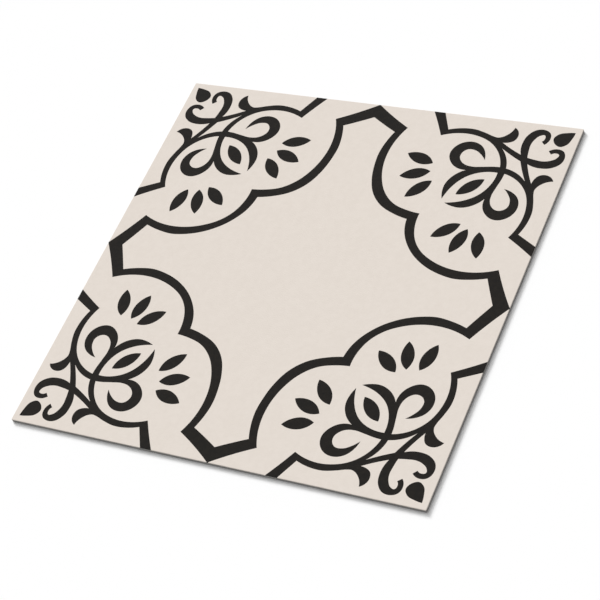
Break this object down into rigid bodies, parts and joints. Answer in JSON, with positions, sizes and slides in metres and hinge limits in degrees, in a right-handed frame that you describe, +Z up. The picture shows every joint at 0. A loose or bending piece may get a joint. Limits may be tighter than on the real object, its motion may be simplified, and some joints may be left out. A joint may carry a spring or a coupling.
{
  "type": "vinyl floor tile",
  "caption": "Square vinyl floor tile with a dark printed ornament on a pale ground, die-cut square sides and a flat back to glue down.",
  "frame": {"origin": "middle of the underside, on the floor", "axes": "+Z up out of the wear face, X and Y along the sides; the camera of the picture looks from +X, -Y and above"},
  "size_m": [0.3, 0.3, 0.0025],
  "materials": {
    "vinyl": "satin"
  },
  "bodies": {
    "root": {"floor_tile": "vinyl"}
  },
  "joints": []
}
